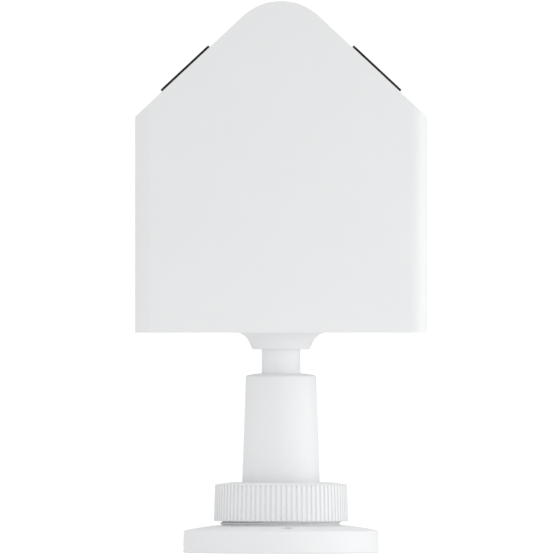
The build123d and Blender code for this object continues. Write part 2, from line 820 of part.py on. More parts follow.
# ---- Radome -----------------------------------------------------------------------------------------
with BuildPart() as radome:
    add(house_block(0, cover_bottom))
    ridge_face = radome.faces().sort_by(Axis.Z)[-1:]
    slope_faces = radome.faces().filter_by(
        lambda face: face.geom_type == GeomType.PLANE and 0.1 < face.normal_at().Z < 0.9
    )
    roof_rim = (ridge_face + slope_faces).edges().filter_by(
        lambda edge: abs(edge.center().Y) > radome_depth / 2 - radome_corner
    )
    fillet(roof_rim, radome_edge)
    add(house_block(radome_wall, cover_bottom), mode=Mode.SUBTRACT)
    with BuildSketch(Plane.XY.offset(ledge_z)):
        half_wall = radome_wall / 2
        RectangleRounded(inner_width + half_wall, inner_depth + half_wall, inner_corner + half_wall / 2)
        RectangleRounded(
            inner_width - 2 * ledge_width,
            inner_depth - 2 * ledge_width,
            inner_corner - ledge_width,
            mode=Mode.SUBTRACT,
        )
    extrude(amount=ledge_height)
    with BuildSketch(Plane.XY.offset(cover_top + seat_gap)):
        with Locations(*corner_columns, *middle_columns):
            Circle(column_radius)
    extrude(amount=column_length)
    with BuildSketch(Plane.XY.offset(ledge_z)):
        for x, y in corner_columns:
            with Locations((x, y)):
                Rectangle(
                    corner_column_inset[0] + radome_wall / 2,
                    column_rib,
                    align=(Align.MIN if x > 0 else Align.MAX, Align.CENTER),
                )
                Rectangle(
                    column_rib,
                    corner_column_inset[1] + radome_wall / 2,
                    align=(Align.CENTER, Align.MIN if y > 0 else Align.MAX),
                )
        for x, y in middle_columns:
            with Locations((x, y)):
                Rectangle(
                    column_rib,
                    middle_column_place[1] + radome_wall / 2,
                    align=(Align.CENTER, Align.MIN if y > 0 else Align.MAX),
                )
    extrude(amount=cover_top + seat_gap + column_length - ledge_z)
    with BuildSketch(Plane.XY.offset(cover_top + seat_gap)):
        with Locations(*corner_columns, *middle_columns):
            Circle(screw_radius + screw_gap)
    extrude(amount=cover_screw_length, mode=Mode.SUBTRACT)
    for side in (-1, 1):
        with BuildSketch(roof_plane(side)):
            RectangleRounded(
                window_length + 2 * loose_gap, window_width + 2 * loose_gap, window_corner + loose_gap
            )
        extrude(amount=-recess_depth, mode=Mode.SUBTRACT)
        with BuildSketch(roof_plane(side)):
            RectangleRounded(*window_opening, window_corner)
        extrude(amount=-2 * radome_wall, mode=Mode.SUBTRACT)
        with BuildSketch(roof_plane(side, recess_depth + seat_gap)):
            with Locations(*indicator_screws):
                Circle(indicator_boss_radius)
        extrude(amount=recess_depth + seat_gap - radome_wall - indicator_boss_height)
        with BuildSketch(roof_plane(side, radome_wall + indicator_boss_height)):
            with Locations(*indicator_screws):
                Circle(small_screw_radius + screw_gap)
        extrude(amount=indicator_boss_height, mode=Mode.SUBTRACT)
radome.part.label = "radome"
export_step(radome.part, "parts/radome.step")

# ---- Windows and indicator boards -------------------------------------------------------------------
for side, hand in ((-1, "left"), (1, "right")):
    with BuildPart() as window_seal:
        with BuildSketch(roof_plane(side, recess_depth - seat_gap)):
            RectangleRounded(window_length, window_width, window_corner)
            RectangleRounded(*window_opening, window_corner, mode=Mode.SUBTRACT)
        extrude(amount=window_seal_thickness)
    window_seal.part.label = f"window_seal_{hand}"
    export_step(window_seal.part, f"parts/window_seal_{hand}.step")

    with BuildPart() as window:
        with BuildSketch(roof_plane(side, window_thickness - window_proud)):
            RectangleRounded(window_length, window_width, window_corner)
        extrude(amount=window_thickness)
        outward = Axis((0, 0, 0), tuple(roof_plane(side).z_dir))
        fillet(window.faces().sort_by(outward)[-1].edges(), window_edge)
    window.part.label = f"window_{hand}"
    export_step(window.part, f"parts/window_{hand}.step")

    with BuildPart() as indicator_board:
        with BuildSketch(roof_plane(side, -indicator_bottom)):
            Rectangle(indicator_length, indicator_width)
            with Locations(*indicator_screws):
                Circle(small_screw_radius + pass_gap, mode=Mode.SUBTRACT)
        extrude(amount=board_thickness)
    indicator_board.part.label = f"indicator_board_{hand}"
    export_step(indicator_board.part, f"parts/indicator_board_{hand}.step")

    with BuildPart() as indicator_lamps:
        with BuildSketch(roof_plane(side, -indicator_top)):
            with GridLocations(0, lamp_spacing, 1, lamp_count):
                Rectangle(lamp_size[0], lamp_size[1])
        extrude(amount=lamp_size[2])
    indicator_lamps.part.label = f"indicator_lamps_{hand}"
    export_step(indicator_lamps.part, f"parts/indicator_lamps_{hand}.step")

    with BuildPart() as indicator_board_screws:
        board_underside = roof_plane(side, seat_gap - indicator_bottom)
        screw_reach = board_thickness + indicator_boss_height - seat_gap
        add(pan_screws(indicator_screws, board_underside, screw_reach, small_screw_radius))
    indicator_board_screws.part.label = f"indicator_screws_{hand}"
    export_step(indicator_board_screws.part, f"parts/indicator_screws_{hand}.step")

# ---- Foot and boom ----------------------------------------------------------------------------------
with BuildPart() as boom_foot:
    with BuildSketch(Plane.XY.offset(foot_bottom)):
        RectangleRounded(foot_size, foot_size, foot_column_radius)
    extrude(amount=foot_thickness)
    with BuildSketch(Plane.XY.offset(foot_bottom)):
        RectangleRounded(socket_size, socket_size, socket_wall / 2)
    extrude(amount=socket_top - foot_bottom)
    with BuildSketch(Plane.XY.offset(socket_top)):
        RectangleRounded(socket_flange_size, socket_flange_size, socket_wall / 2)
    extrude(amount=-socket_flange_thickness)
    with BuildSketch(Plane.XY.offset(foot_bottom + foot_floor)):
        Rectangle(socket_bore, socket_bore)
    extrude(amount=socket_top, mode=Mode.SUBTRACT)
    with BuildSketch(Plane.XY.offset(foot_bottom)):
        with Locations(*foot_columns):
            Circle(screw_radius + pass_gap)
    extrude(amount=foot_thickness, mode=Mode.SUBTRACT)
    with BuildSketch(Plane.XY.offset(socket_top)):
        with Locations(*reflector_screws):
            Circle(small_screw_radius + screw_gap)
    extrude(amount=-socket_flange_thickness, mode=Mode.SUBTRACT)
    with BuildSketch(Plane.YZ):
        with Locations((0, boom_pin_z)):
            Circle(screw_radius + screw_gap)
    extrude(amount=socket_size, both=True, mode=Mode.SUBTRACT)
boom_foot.part.label = "boom_foot"
export_step(boom_foot.part, "parts/boom_foot.step")

with BuildPart() as foot_screws:
    foot_face = Plane(origin=(0, 0, foot_top + seat_gap), x_dir=(1, 0, 0), z_dir=(0, 0, -1))
    add(pan_screws(foot_columns, foot_face, foot_screw_length))
foot_screws.part.label = "foot_screws"
export_step(foot_screws.part, "parts/foot_screws.step")

clamp_screws_z = [height + clamp_screw_rise for height in director_heights]
feed_screw_spots = [(-feed_screw_place, driven_height), (feed_screw_place, driven_height)]

with BuildPart() as boom:
    with BuildSketch(Plane.XY.offset(boom_bottom)):
        Rectangle(boom_size, boom_size)
        Rectangle(boom_size - 2 * boom_wall, boom_size - 2 * boom_wall, mode=Mode.SUBTRACT)
    extrude(amount=boom_top - boom_bottom)
    with BuildSketch(Plane.YZ):
        with Locations((0, boom_pin_z)):
            Circle(screw_radius + screw_gap)
    extrude(amount=boom_size, both=True, mode=Mode.SUBTRACT)
    with BuildSketch(Plane.XZ):
        with Locations(*[(0, height) for height in clamp_screws_z]):
            Circle(screw_radius + screw_gap)
        with Locations(*feed_screw_spots):
            Circle(small_screw_radius + screw_gap)
    extrude(amount=boom_size, mode=Mode.SUBTRACT)
boom.part.label = "boom"
export_step(boom.part, "parts/boom.step")

with BuildPart() as boom_pin:
    with BuildSketch(Plane.YZ):
        with Locations((0, boom_pin_z)):
            Circle(screw_radius)
    extrude(amount=socket_size / 2, both=True)
    chamfer(boom_pin.edges(), screw_radius / 4)
boom_pin.part.label = "boom_pin"
export_step(boom_pin.part, "parts/boom_pin.step")

with BuildPart() as boom_cushion:
    cushion_bottom = boom_top - cushion_socket + seat_gap
    with BuildSketch(Plane.XY.offset(cushion_bottom)):
        Rectangle(cushion_size[0], cushion_size[1])
    extrude(amount=cushion_size[2])
    fillet(boom_cushion.edges(), cushion_edge)
    with BuildSketch(Plane.XY.offset(cushion_bottom)):
        Rectangle(socket_bore, socket_bore)
    extrude(amount=cushion_socket, mode=Mode.SUBTRACT)
boom_cushion.part.label = "boom_cushion"
export_step(boom_cushion.part, "parts/boom_cushion.step")

# ---- Reflector, directors and driven element --------------------------------------------------------
with BuildPart() as reflector:
    with BuildSketch(Plane.XY.offset(reflector_bottom)):
        RectangleRounded(reflector_size[0], reflector_size[1], socket_wall)
        Rectangle(boom_size + 2 * loose_gap, boom_size + 2 * loose_gap, mode=Mode.SUBTRACT)
        with Locations(*reflector_screws):
            Circle(small_screw_radius + pass_gap, mode=Mode.SUBTRACT)
        with Locations(coax_drop):
            Circle(coax_radius + loose_gap, mode=Mode.SUBTRACT)
    extrude(amount=reflector_size[2])
reflector.part.label = "reflector"
export_step(reflector.part, "parts/reflector.step")

with BuildPart() as reflector_screw_set:
    reflector_face = Plane(origin=(0, 0, reflector_top + seat_gap), x_dir=(1, 0, 0), z_dir=(0, 0, -1))
    add(pan_screws(reflector_screws, reflector_face, socket_flange_thickness, small_screw_radius))
reflector_screw_set.part.label = "reflector_screws"
export_step(reflector_screw_set.part, "parts/reflector_screws.step")

front_of_boom = Plane.XZ.offset(-boom_front)
for number, (height, half) in enumerate(zip(director_heights, director_half_lengths), start=1):
    with BuildPart() as director:
        with BuildSketch(Plane.YZ):
            with Locations((director_y, height)):
                Circle(rod_radius)
        extrude(amount=half, both=True)
        chamfer(director.edges(), rod_radius / 5)
    director.part.label = f"director_{number}"
    export_step(director.part, f"parts/director_{number}.step")

    with BuildPart() as director_clamp:
        with BuildSketch(front_of_boom):
            with Locations((0, height + clamp_screw_rise / 2)):
                RectangleRounded(clamp_size[0], clamp_size[2], rod_radius)
        extrude(amount=clamp_size[1])
        with BuildSketch(Plane.YZ):
            with Locations((director_y, height)):
                Circle(rod_radius + seat_gap)
        extrude(amount=clamp_size[0], both=True, mode=Mode.SUBTRACT)
        with BuildSketch(front_of_boom):
            with Locations((0, height + clamp_screw_rise)):
                Circle(screw_radius + pass_gap)
        extrude(amount=clamp_size[1], mode=Mode.SUBTRACT)
    director_clamp.part.label = f"director_clamp_{number}"
    export_step(director_clamp.part, f"parts/director_clamp_{number}.step")

with BuildPart() as clamp_screws:
    clamp_face = Plane(origin=(0, clamp_front - seat_gap, 0), x_dir=(-1, 0, 0), z_dir=(0, 1, 0))
    add(pan_screws([(0, height) for height in clamp_screws_z], clamp_face, clamp_size[1] + boom_size / 3))
clamp_screws.part.label = "clamp_screws"
export_step(clamp_screws.part, "parts/clamp_screws.step")

with BuildPart() as driven_element:
    half_space = driven_spacing / 2
    bend_x = driven_half_length - half_space
    gap_x = driven_gap / 2
    with BuildLine(Plane.XZ.offset(-feed_box_y)) as loop:
        Line((-gap_x, driven_height - half_space), (-bend_x, driven_height - half_space))
        ThreePointArc(
            (-bend_x, driven_height - half_space),
            (-driven_half_length, driven_height),
            (-bend_x, driven_height + half_space),
        )
        Line((-bend_x, driven_height + half_space), (bend_x, driven_height + half_space))
        ThreePointArc(
            (bend_x, driven_height + half_space),
            (driven_half_length, driven_height),
            (bend_x, driven_height - half_space),
        )
        Line((bend_x, driven_height - half_space), (gap_x, driven_height - half_space))
    with BuildSketch(Plane.YZ.offset(-gap_x)):
        with Locations((feed_box_y, driven_height - half_space)):
            Circle(rod_radius)
    sweep(path=loop.line)
driven_element.part.label = "driven_element"
export_step(driven_element.part, "parts/driven_element.step")

with BuildPart() as feed_box:
    with BuildSketch(front_of_boom):
        with Locations((0, driven_height)):
            RectangleRounded(feed_box_size[0], feed_box_size[2], feed_box_wall)
    extrude(amount=feed_box_size[1])
    with BuildSketch(front_of_boom.offset(feed_box_wall)):
        with Locations((0, driven_height)):
            Rectangle(feed_box_size[0] - 2 * feed_box_wall, feed_box_size[2] - 2 * feed_box_wall)
    extrude(amount=feed_box_size[1], mode=Mode.SUBTRACT)
    with BuildSketch(Plane.YZ):
        with Locations(
            (feed_box_y, driven_height - half_space),
            (feed_box_y, driven_height + half_space),
        ):
            Circle(rod_radius + seat_gap)
    extrude(amount=feed_box_size[0], both=True, mode=Mode.SUBTRACT)
    with BuildSketch(front_of_boom):
        with Locations(*feed_screw_spots):
            Circle(small_screw_radius + pass_gap)
    extrude(amount=feed_box_wall, mode=Mode.SUBTRACT)
    with BuildSketch(Plane.XY.offset(feed_box_bottom)):
        with Locations(coax_drop):
            Circle(coax_radius + seat_gap)
    extrude(amount=feed_box_wall, mode=Mode.SUBTRACT)
feed_box.part.label = "feed_box"
export_step(feed_box.part, "parts/feed_box.step")

with BuildPart() as feed_screws:
    inner_face = boom_front - feed_box_wall - seat_gap
    feed_face = Plane(origin=(0, inner_face, 0), x_dir=(-1, 0, 0), z_dir=(0, 1, 0))
    add(pan_screws(feed_screw_spots, feed_face, feed_box_wall + boom_size / 3, small_screw_radius))
feed_screws.part.label = "feed_screws"
export_step(feed_screws.part, "parts/feed_screws.step")

with BuildPart() as feed_box_lid:
    with BuildSketch(Plane.XZ.offset(-feed_box_front + seat_gap)):
        with Locations((0, driven_height)):
            RectangleRounded(feed_box_size[0], feed_box_size[2], feed_box_wall)
    extrude(amount=feed_box_wall)
    with BuildSketch(Plane.XZ.offset(-feed_box_front + seat_gap)):
        with Locations((0, driven_height)):
            Rectangle(
                feed_box_size[0] - 2 * feed_box_wall - 2 * cover_gap,
                feed_box_size[2] - 2 * feed_box_wall - 2 * cover_gap,
            )
    extrude(amount=-feed_box_wall)
feed_box_lid.part.label = "feed_box_lid"
export_step(feed_box_lid.part, "parts/feed_box_lid.step")

with BuildPart() as balun_board:
    with BuildSketch(Plane.XZ.offset(-feed_box_y + rod_radius + seat_gap)):
        with Locations((0, driven_height)):
            Rectangle(balun_size[0], balun_size[2])
    extrude(amount=balun_size[1])
balun_board.part.label = "balun_board"
export_step(balun_board.part, "parts/balun_board.step")

# ---- Amplifier and leads ----------------------------------------------------------------------------
with BuildPart() as amplifier_board:
    with BuildSketch(Plane.XY.offset(board_bottom)):
        with Locations((board_middle, 0)):
            Rectangle(board_length, board_depth)
        with Locations(*board_screws):
            Circle(small_screw_radius + pass_gap, mode=Mode.SUBTRACT)
    extrude(amount=board_thickness)
amplifier_board.part.label = "amplifier_board"
export_step(amplifier_board.part, "parts/amplifier_board.step")

with BuildPart() as shield_can:
    with BuildSketch(Plane.XY.offset(board_top + seat_gap)):
        with Locations((can_place, 0)):
            Rectangle(can_size[0], can_size[1])
    extrude(amount=can_size[2])
    offset(amount=-can_wall, openings=shield_can.faces().sort_by(Axis.Z)[0])
shield_can.part.label = "shield_can"
export_step(shield_can.part, "parts/shield_can.step")

with BuildPart() as amplifier_screws:
    board_face = Plane(origin=(0, 0, board_top + seat_gap), x_dir=(1, 0, 0), z_dir=(0, 0, -1))
    add(pan_screws(board_screws, board_face, board_thickness + standoff_height - 1, small_screw_radius))
amplifier_screws.part.label = "amplifier_screws"
export_step(amplifier_screws.part, "parts/amplifier_screws.step")

with BuildPart() as feed_coax:
    drop_x, drop_y = coax_drop
    with BuildLine() as feed_route:
        FilletPolyline(
            (drop_x, drop_y, feed_box_bottom + 2 * feed_box_wall),
            (drop_x, drop_y, coax_run_z),
            (coax_x, drop_y, coax_run_z),
            (coax_x, drop_y, board_top + seat_gap),
            radius=coax_bend,
        )
    with BuildSketch(Plane.XY.offset(feed_box_bottom + 2 * feed_box_wall)):
        with Locations(coax_drop):
            Circle(coax_radius)
    sweep(path=feed_route.line)
feed_coax.part.label = "feed_coax"
export_step(feed_coax.part, "parts/feed_coax.step")

with BuildPart() as jack_lead:
    lead_start = jack_x - jack_back_radius - seat_gap
    with BuildLine() as lead_route:
        FilletPolyline(
            (lead_start, 0, coax_run_z),
            (lead_start - 1.4 * coax_bend, 0, coax_run_z),
            (lead_start - 1.4 * coax_bend - jack_lead_y, jack_lead_y, coax_run_z),
            (coax_x, jack_lead_y, coax_run_z),
            (coax_x, jack_lead_y, board_top + seat_gap),
            radius=coax_bend,
        )
    with BuildSketch(Plane.YZ.offset(lead_start)):
        with Locations((0, coax_run_z)):
            Circle(coax_radius)
    sweep(path=lead_route.line)
jack_lead.part.label = "jack_lead"
export_step(jack_lead.part, "parts/jack_lead.step")

# ---- Jack -------------------------------------------------------------------------------------------
with BuildPart() as rf_jack:
    jack_mouth = pocket_ceiling - jack_length
    with BuildSketch(Plane.XY.offset(jack_mouth)):
        with Locations((jack_x, 0)):
            Circle(jack_radius)
    extrude(amount=jack_thread_length)
    chamfer(rf_jack.faces().sort_by(Axis.Z)[0].edges(), jack_chamfer)
    with BuildSketch(Plane.XY.offset(jack_mouth + jack_thread_length)):
        with Locations((jack_x, 0)):
            Circle(jack_shank_radius)
    extrude(amount=jack_flange_bottom - jack_mouth - jack_thread_length)
    with BuildSketch(Plane.XY.offset(jack_flange_bottom)):
        with Locations((jack_x, 0)):
            RegularPolygon(jack_flange_radius, 6)
    extrude(amount=jack_flange_height)
    with BuildSketch(Plane.XY.offset(jack_flange_bottom + jack_flange_height)):
        with Locations((jack_x, 0)):
            Circle(jack_back_radius)
    extrude(amount=jack_back_height)
    with BuildSketch(Plane.XY.offset(jack_mouth)):
        with Locations((jack_x, 0)):
            Circle(jack_bore)
    extrude(amount=jack_bore_depth, mode=Mode.SUBTRACT)
rf_jack.part.label = "rf_jack"
export_step(rf_jack.part, "parts/rf_jack.step")

with BuildPart() as jack_bead:
    with BuildSketch(Plane.XY.offset(jack_mouth + jack_bore_depth - seat_gap)):
        with Locations((jack_x, 0)):
            Circle(jack_bore - seat_gap)
            Circle(pin_radius + seat_gap, mode=Mode.SUBTRACT)
    extrude(amount=-bead_thickness)
jack_bead.part.label = "jack_bead"
export_step(jack_bead.part, "parts/jack_bead.step")

with BuildPart() as jack_pin:
    with BuildSketch(Plane.XY.offset(jack_mouth + jack_bore_depth - seat_gap)):
        with Locations((jack_x, 0)):
            Circle(pin_radius)
    extrude(amount=1 - jack_bore_depth)
    chamfer(jack_pin.faces().sort_by(Axis.Z)[0].edges(), pin_radius / 4)
jack_pin.part.label = "jack_pin"
export_step(jack_pin.part, "parts/jack_pin.step")

with BuildPart() as jack_washer:
    with BuildSketch(Plane.XY.offset(pocket_ceiling - seat_gap)):
        with Locations((jack_x, 0)):
            Circle(jack_washer_radius)
            Circle(jack_shank_radius + pass_gap, mode=Mode.SUBTRACT)
    extrude(amount=-jack_washer_thickness)
jack_washer.part.label = "jack_washer"
export_step(jack_washer.part, "parts/jack_washer.step")

with BuildPart() as jack_nut:
    with BuildSketch(Plane.XY.offset(pocket_ceiling - jack_washer_thickness - 2 * seat_gap)):
        with Locations((jack_x, 0)):
            RegularPolygon(jack_nut_across / 2, 6, major_radius=False)
            Circle(jack_shank_radius + seat_gap, mode=Mode.SUBTRACT)
    extrude(amount=-jack_nut_height)
jack_nut.part.label = "jack_nut"
export_step(jack_nut.part, "parts/jack_nut.step")
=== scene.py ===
"""Yagi antenna in a white moulded radome, on a ball-jointed stand with a knurled locking ring.

Metres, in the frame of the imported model: +Z is up and -Y is the front. The radome, stand and base
are white mouldings with a fine spark-eroded texture. The windows in the roof are smoked acrylic.
"""
import json
from math import pi, radians

import bpy
import numpy as np
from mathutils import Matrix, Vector


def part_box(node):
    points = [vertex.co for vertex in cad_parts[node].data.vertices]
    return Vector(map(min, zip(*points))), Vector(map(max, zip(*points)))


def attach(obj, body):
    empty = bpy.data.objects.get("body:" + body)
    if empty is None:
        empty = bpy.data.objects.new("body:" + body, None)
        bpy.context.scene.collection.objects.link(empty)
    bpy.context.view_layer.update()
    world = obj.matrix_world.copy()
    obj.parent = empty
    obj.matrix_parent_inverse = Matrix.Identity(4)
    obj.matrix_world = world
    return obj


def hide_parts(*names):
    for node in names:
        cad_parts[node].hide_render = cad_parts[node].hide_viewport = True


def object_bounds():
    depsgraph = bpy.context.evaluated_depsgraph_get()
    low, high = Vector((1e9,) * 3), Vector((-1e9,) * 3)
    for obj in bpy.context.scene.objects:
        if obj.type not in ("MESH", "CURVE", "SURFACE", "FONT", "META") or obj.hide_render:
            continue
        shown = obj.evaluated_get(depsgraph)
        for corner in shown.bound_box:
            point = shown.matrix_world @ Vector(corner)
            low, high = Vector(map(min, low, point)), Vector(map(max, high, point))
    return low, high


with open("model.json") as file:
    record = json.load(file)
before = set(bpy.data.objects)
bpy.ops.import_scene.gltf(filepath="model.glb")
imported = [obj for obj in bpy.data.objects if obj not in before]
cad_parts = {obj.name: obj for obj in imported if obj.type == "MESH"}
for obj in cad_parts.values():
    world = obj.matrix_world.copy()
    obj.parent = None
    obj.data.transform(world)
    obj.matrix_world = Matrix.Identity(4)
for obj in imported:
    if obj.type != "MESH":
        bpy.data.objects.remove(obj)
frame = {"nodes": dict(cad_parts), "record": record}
cad_box = [list(corner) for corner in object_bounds()]
nodes = frame["nodes"]
scene = bpy.context.scene


# ---- Shader maths -----------------------------------------------------------------------------------
class Value:
    """A shader socket that takes part in Python expressions; each operator adds one Math node."""

    def __init__(self, finish, socket):
        self.finish = finish
        self.socket = socket

    def maths(self, operation, *values):
        node = self.finish.node("ShaderNodeMath", {"operation": operation}, dict(enumerate(values)))
        return Value(self.finish, node.outputs[0])

    def __add__(self, other):
        return self.maths("ADD", self, other)

    def __radd__(self, other):
        return self.maths("ADD", other, self)

    def __sub__(self, other):
        return self.maths("SUBTRACT", self, other)

    def __rsub__(self, other):
        return self.maths("SUBTRACT", other, self)

    def __mul__(self, other):
        return self.maths("MULTIPLY", self, other)

    def __rmul__(self, other):
        return self.maths("MULTIPLY", other, self)

    def __abs__(self):
        return self.maths("ABSOLUTE", self)

    def sine(self):
        return self.maths("SINE", self)

    def root(self):
        return self.maths("SQRT", self)

    def repeat(self, period):
        """Distance past the last whole period."""
        return self.maths("FLOORED_MODULO", self, period)

    def step(self, low, high):
        """Smooth rise from 0 at low to 1 at high."""
        settings = {"interpolation_type": "SMOOTHSTEP"}
        node = self.finish.node("ShaderNodeMapRange", settings, {0: self, 1: low, 2: high})
        return Value(self.finish, node.outputs[0])


class Finish:
    """A material under construction: its node tree, its shader and the object coordinates."""

    def __init__(self, name, colour, roughness, metallic=0.0, **shader):
        self.material = bpy.data.materials.new(name)
        self.material.use_nodes = True
        self.material.diffuse_color = (*colour, 1.0)
        self.tree = self.material.node_tree
        self.shader = self.tree.nodes["Principled BSDF"]
        self.set(self.shader, {"Base Color": (*colour, 1.0), "Roughness": roughness, "Metallic": metallic})
        self.set(self.shader, shader)
        self.place = self.node("ShaderNodeTexCoord", {}, {}).outputs["Object"]

    def set(self, node, inputs):
        for key, value in inputs.items():
            socket = node.inputs[key]
            if isinstance(value, Value):
                value = value.socket
            if isinstance(value, bpy.types.NodeSocket):
                self.tree.links.new(value, socket)
            else:
                socket.default_value = value

    def node(self, kind, settings, inputs):
        """A node of a given kind, with its settings first and then its sockets' values or links."""
        node = self.tree.nodes.new(kind)
        for key, value in settings.items():
            setattr(node, key, value)
        self.set(node, inputs)
        return node

    def axes(self):
        """The object coordinates as three values."""
        split = self.node("ShaderNodeSeparateXYZ", {}, {0: self.place})
        return [Value(self, split.outputs[k]) for k in range(3)]

    def noise(self, size, detail=2.0, roughness=0.5, place=None):
        """Noise from 0 to 1, whose lumps are about size metres across."""
        inputs = {"Vector": place or self.place, "Scale": 1 / size, "Detail": detail, "Roughness": roughness}
        return Value(self, self.node("ShaderNodeTexNoise", {}, inputs).outputs["Fac"])

    def cells(self, size, feature="F1"):
        """Distance within Voronoi cells about size metres across."""
        inputs = {"Vector": self.place, "Scale": 1 / size}
        node = self.node("ShaderNodeTexVoronoi", {"feature": feature}, inputs)
        return Value(self, node.outputs["Distance"])

    def stretched(self, scale):
        """The object coordinates scaled by a factor on each axis."""
        node = self.node("ShaderNodeMapping", {}, {"Vector": self.place, "Scale": scale})
        return node.outputs[0]

    def mix(self, share, low, high):
        """A colour between two, each a tuple or a socket; the node takes them on its sockets 6 and 7."""
        colours = [(*c, 1.0) if isinstance(c, tuple) else c for c in (low, high)]
        inputs = {"Factor": share, 6: colours[0], 7: colours[1]}
        return self.node("ShaderNodeMix", {"data_type": "RGBA"}, inputs).outputs[2]

    def bump(self, height, depth, below=None):
        """Tilts the normal by a height from 0 to 1 that is depth metres deep."""
        inputs = {"Height": height, "Distance": depth}
        if below is not None:
            inputs["Normal"] = below
        return self.node("ShaderNodeBump", {}, inputs).outputs[0]

    def finish(self, **inputs):
        """The finished material, with what varies over its surface."""
        names = {"colour": "Base Color", "roughness": "Roughness", "normal": "Normal"}
        self.set(self.shader, {names[key]: value for key, value in inputs.items()})
        return self.material


# ---- Finishes ---------------------------------------------------------------------------------------
def moulded_white(name, tone, grain=0.00035, parting=False):
    """White ASA with a spark-eroded grain and faint mottling; parting adds a witness line where y is 0."""
    cool = (tone * 0.983, tone * 0.992, tone)
    make = Finish(name, cool, 0.5, **{"Specular IOR Level": 0.5, "IOR": 1.5})
    mottle = make.noise(0.035, 4.0, 0.55)
    speck = make.cells(0.006).step(0.06, 0.02) * make.noise(0.02).step(0.56, 0.64)
    tones = make.mix(mottle.step(0.3, 0.7), tuple(0.988 * part for part in cool), cool)
    colour = make.mix(speck * 0.05, tones, (0.45, 0.43, 0.40))
    rub = make.noise(0.012, 3.0, 0.6)
    pits = make.noise(grain, 2.0, 0.6)
    fine = make.noise(grain * 0.4, 1.0, 0.5)
    normal = make.bump(pits * 0.7 + fine * 0.3, 0.000016)
    if parting:
        across = make.axes()[1]
        normal = make.bump(abs(across).step(0.00006, 0.00016), 0.00003, normal)
    return make.finish(colour=colour, roughness=0.44 + 0.12 * rub, normal=normal)


def smoked_acrylic(name):
    """Near-black polished window with hairline wiping marks and a little dust."""
    make = Finish(name, (0.004, 0.004, 0.005), 0.22, **{"Specular IOR Level": 0.35, "IOR": 1.49})
    dust = make.noise(0.0009, 3.0, 0.7).step(0.62, 0.80)
    wipe = make.noise(0.0004, 2.0, 0.6, make.stretched((1.0, 0.05, 1.0)))
    smear = make.noise(0.012, 2.0)
    colour = make.mix(dust * 0.05, (0.004, 0.004, 0.005), (0.20, 0.20, 0.20))
    return make.finish(colour=colour, roughness=0.18 + 0.08 * smear + 0.04 * wipe + 0.15 * dust)


def foam(name, colour, cell):
    """Closed-cell foam: dark pits between bright cell walls, the dark painted shade and the bright painted
    light, following the bump's height.
    """
    make = Finish(name, colour, 0.9)
    wall = make.cells(cell, "DISTANCE_TO_EDGE")
    lump = make.noise(cell * 8)
    cell_height_and_shading = wall.step(0.0, 0.12)
    painted_shade_colour = tuple(c * 0.6 for c in colour)
    painted_light_colour = tuple(min(c * 1.25, 1) for c in colour)
    # Painted shade where the foam is low and painted light where it is high, mixed with random lumps in
    # tone.
    shade = make.mix(cell_height_and_shading * 0.6 + lump * 0.4, painted_shade_colour, painted_light_colour)
    return make.finish(colour=shade, roughness=0.85 + 0.1 * lump, normal=make.bump(cell_height_and_shading, cell * 0.25))


def smooth_moulding(name, colour, roughness):
    """Dense engineering plastic, with flow marks and a fine grain."""
    make = Finish(name, colour, roughness)
    flow = make.noise(0.004, 3.0, 0.6, make.stretched((1.0, 1.0, 0.35)))
    grain = make.noise(0.0002, 2.0, 0.6)
    shade = make.mix(flow.step(0.25, 0.75), tuple(c * 0.88 for c in colour), colour)
    return make.finish(
        colour=shade,
        roughness=roughness - 0.05 + 0.1 * flow,
        normal=make.bump(grain, 0.00001),
    )


def turned_metal(name, colour, roughness, centre=(0.0, 0.0)):
    """Machined metal: fine rings of tool marks around an upright axis, with light wear."""
    make = Finish(name, colour, roughness, 1.0)
    ring_pitch = 0.00012
    x, y, z = make.axes()
    x, y = x - centre[0], y - centre[1]
    rings = (((x * x + y * y).root() + z) * (2 * pi / ring_pitch)).sine()
    wear = make.noise(0.0015, 4.0, 0.65)
    shade = make.mix(wear.step(0.3, 0.75), tuple(c * 0.82 for c in colour), colour)
    return make.finish(
        colour=shade,
        roughness=(roughness - 0.06) + 0.16 * wear,
        normal=make.bump(rings * 0.5 + 0.5, 0.0000025),
    )


def drawn_metal(name, colour, roughness, along):
    """Rolled or extruded metal, with streaks along one axis."""
    make = Finish(name, colour, roughness, 1.0)
    scale = [1.0, 1.0, 1.0]
    scale[along] = 0.02
    streak = make.noise(0.00025, 3.0, 0.65, make.stretched(scale))
    stain = make.noise(0.01, 3.0, 0.6)
    shade = make.mix(streak.step(0.25, 0.75), tuple(c * 0.86 for c in colour), colour)
    return make.finish(
        colour=shade,
        roughness=roughness - 0.06 + 0.1 * streak + 0.08 * stain,
        normal=make.bump(streak, 0.000004),
    )


def circuit_board(name):
    """Green solder mask over copper tracks that run on a grid, with plated holes where they turn."""
    make = Finish(name, (0.02, 0.13, 0.055), 0.35, **{"Coat Weight": 0.3, "Coat Roughness": 0.2})
    track_pitch = 0.0016
    x, y = make.axes()[:2]
    bend = make.noise(0.009, 0.0) * 0.006
    along, across = (
        abs((axis + bend).repeat(track_pitch) - track_pitch / 2).step(0.00028, 0.0002) for axis in (x, y)
    )
    patch = make.noise(0.007, 0.0).step(0.48, 0.52)
    tracks = along * patch + across * (1 - patch)
    hole = make.cells(0.0035).step(0.12, 0.08)
    green = make.mix(tracks * 0.8, (0.012, 0.085, 0.035), (0.03, 0.20, 0.085))
    colour = make.mix(hole, green, (0.55, 0.50, 0.40))
    return make.finish(
        colour=colour,
        roughness=0.32 + 0.1 * make.noise(0.004),
        normal=make.bump(tracks, 0.00003),
    )


def clear_lens(name):
    """Yellow phosphor under a clear drop of resin."""
    make = Finish(name, (0.85, 0.78, 0.42), 0.2, **{"Coat Weight": 1.0, "Coat Roughness": 0.03})
    glow = make.noise(0.0012, 2.0)
    colour = make.mix(glow, (0.86, 0.80, 0.50), (0.80, 0.66, 0.24))
    return make.finish(colour=colour, roughness=0.15 + 0.1 * glow)


